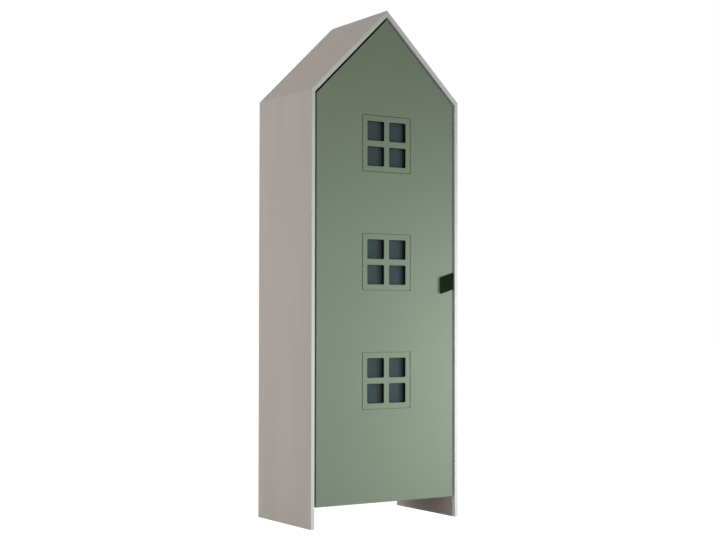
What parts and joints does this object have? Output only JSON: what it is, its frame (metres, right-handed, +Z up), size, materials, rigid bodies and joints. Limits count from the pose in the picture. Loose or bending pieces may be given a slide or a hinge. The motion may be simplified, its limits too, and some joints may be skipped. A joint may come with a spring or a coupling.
{
  "type": "children's wardrobe",
  "caption": "House shaped wardrobe for a child's room: mitred carcass with a pitched roof and an inset hinged door with paned windows.",
  "frame": {"origin": "centre of the bounding box's bottom face, on the floor", "axes": "+Z up, -Y out of the door, +X to the right as seen from the front"},
  "size_m": [0.576, 0.3747, 1.715],
  "materials": {
    "carcass_laminate": "pale warm grey melamine with a very fine grain, satin",
    "door_lacquer": "sage green satin lacquer on fibreboard",
    "back_board": "pale hardboard, matt",
    "smoked_acrylic": "dark smoked acrylic, half gloss",
    "steel": "nickel-plated steel",
    "zinc": "die-cast zinc, satin",
    "white_plastic": "off-white moulded plastic",
    "leather": "very dark olive leather with cut edges"
  },
  "bodies": {
    "carcass": {"side_panel_left": "carcass_laminate", "side_panel_right": "carcass_laminate", "roof_panel_left": "carcass_laminate", "roof_panel_right": "carcass_laminate", "back_panel": "back_board", "bottom_panel": "carcass_laminate", "top_shelf": "carcass_laminate", "lower_shelf": "carcass_laminate", "bottom_panel_cam_left_front": "zinc", "bottom_panel_cam_left_rear": "zinc", "bottom_panel_cam_right_front": "zinc", "bottom_panel_cam_right_rear": "zinc", "top_shelf_cam_left_front": "zinc", "top_shelf_cam_left_rear": "zinc", "top_shelf_cam_right_front": "zinc", "top_shelf_cam_right_rear": "zinc", "shelf_pin_left_front": "steel", "shelf_pin_left_rear": "steel", "shelf_pin_right_front": "steel", "shelf_pin_right_rear": "steel", "hanging_rail": "steel", "rail_socket_left": "steel", "rail_socket_right": "steel", "magnetic_catch": "white_plastic", "anti_tip_bracket": "steel", "hinge_barrel_side_lower": "zinc", "hinge_barrel_side_middle": "zinc", "hinge_barrel_side_upper": "zinc"},
    "hinge_links": {"hinge_link_lower": "steel", "hinge_link_middle": "steel", "hinge_link_upper": "steel"},
    "door": {"door_panel": "door_lacquer", "window_pane_lower": "smoked_acrylic", "window_pane_middle": "smoked_acrylic", "window_pane_upper": "smoked_acrylic", "pane_screw_lower_left": "steel", "pane_screw_lower_right": "steel", "pane_screw_lower_top": "steel", "pane_screw_lower_bottom": "steel", "pane_screw_middle_left": "steel", "pane_screw_middle_right": "steel", "pane_screw_middle_top": "steel", "pane_screw_middle_bottom": "steel", "pane_screw_upper_left": "steel", "pane_screw_upper_right": "steel", "pane_screw_upper_top": "steel", "pane_screw_upper_bottom": "steel", "hinge_barrel_door_lower": "zinc", "hinge_barrel_door_middle": "zinc", "hinge_barrel_door_upper": "zinc", "strike_plate": "steel", "leather_pull": "leather", "pull_washer": "steel", "pull_screw": "steel"}
  },
  "joints": [
    {"name": "door_swing", "type": "hinge", "parent": "carcass", "child": "door", "pos_m": [-0.2715, -0.18065, 0.744], "axis": [0, 0, -1], "range_deg": [0, 100]},
    {"name": "hinge_link_swing", "type": "hinge", "parent": "carcass", "child": "hinge_links", "pos_m": [-0.2715, -0.18065, 0.744], "axis": [0, 0, -1], "range_deg": [0, 50.01]}
  ],
  "couplings": [
    {"joint": "hinge_link_swing", "follows": "door_swing", "ratio": 0.5}
  ]
}
